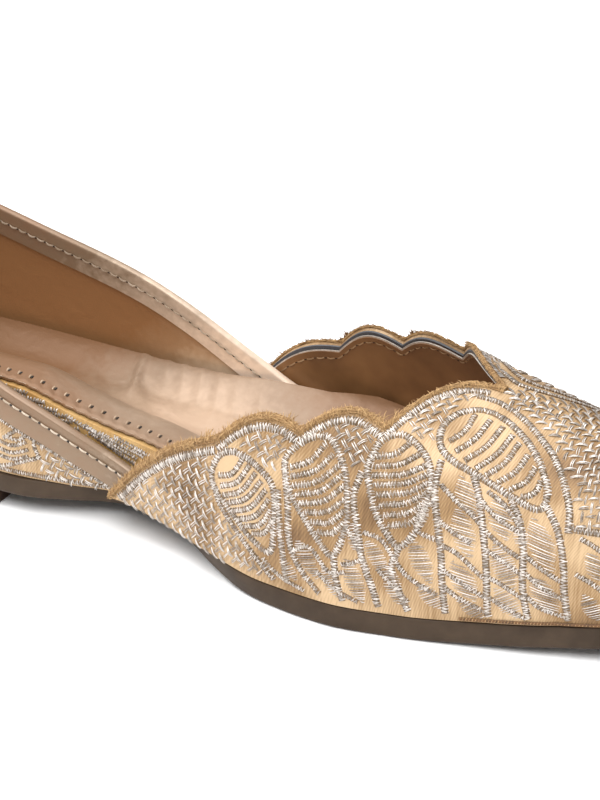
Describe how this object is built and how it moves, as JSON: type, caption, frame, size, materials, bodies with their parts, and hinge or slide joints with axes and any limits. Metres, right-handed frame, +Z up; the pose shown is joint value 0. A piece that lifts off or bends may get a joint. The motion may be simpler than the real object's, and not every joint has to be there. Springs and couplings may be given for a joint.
{
  "type": "mojari shoe",
  "caption": "Left women's mojari flat with a pointed toe, scalloped embroidered vamp, open waist and leather bound collar.",
  "frame": {"origin": "on the floor under the centre of the heel block's flat underside", "axes": "+X from heel to toe, +Y to the wearer's outer (left) side, +Z up from the floor"},
  "size_m": [0.2655, 0.0746, 0.0569],
  "materials": {
    "embroidered_satin": "gold satin with metallic silver thread embroidery",
    "metallic_leather": "champagne foil leather, soft sheen",
    "silver_thread": "flat lurex embroidery thread, bright metallic sheen",
    "lining_leather": "smooth brown leather, soft satin sheen",
    "raw_edge": "frayed gold warp yarns of the satin's cut edge",
    "sole_rubber": "matt moulded, taupe brown",
    "heel_rubber": "matt moulded, brown"
  },
  "bodies": {
    "root": {"outsole": "sole_rubber", "heel_block": "heel_rubber", "footbed": "embroidered_satin", "sock": "metallic_leather", "quarter": "embroidered_satin", "collar_binding": "metallic_leather", "vamp": "embroidered_satin"}
  },
  "joints": []
}
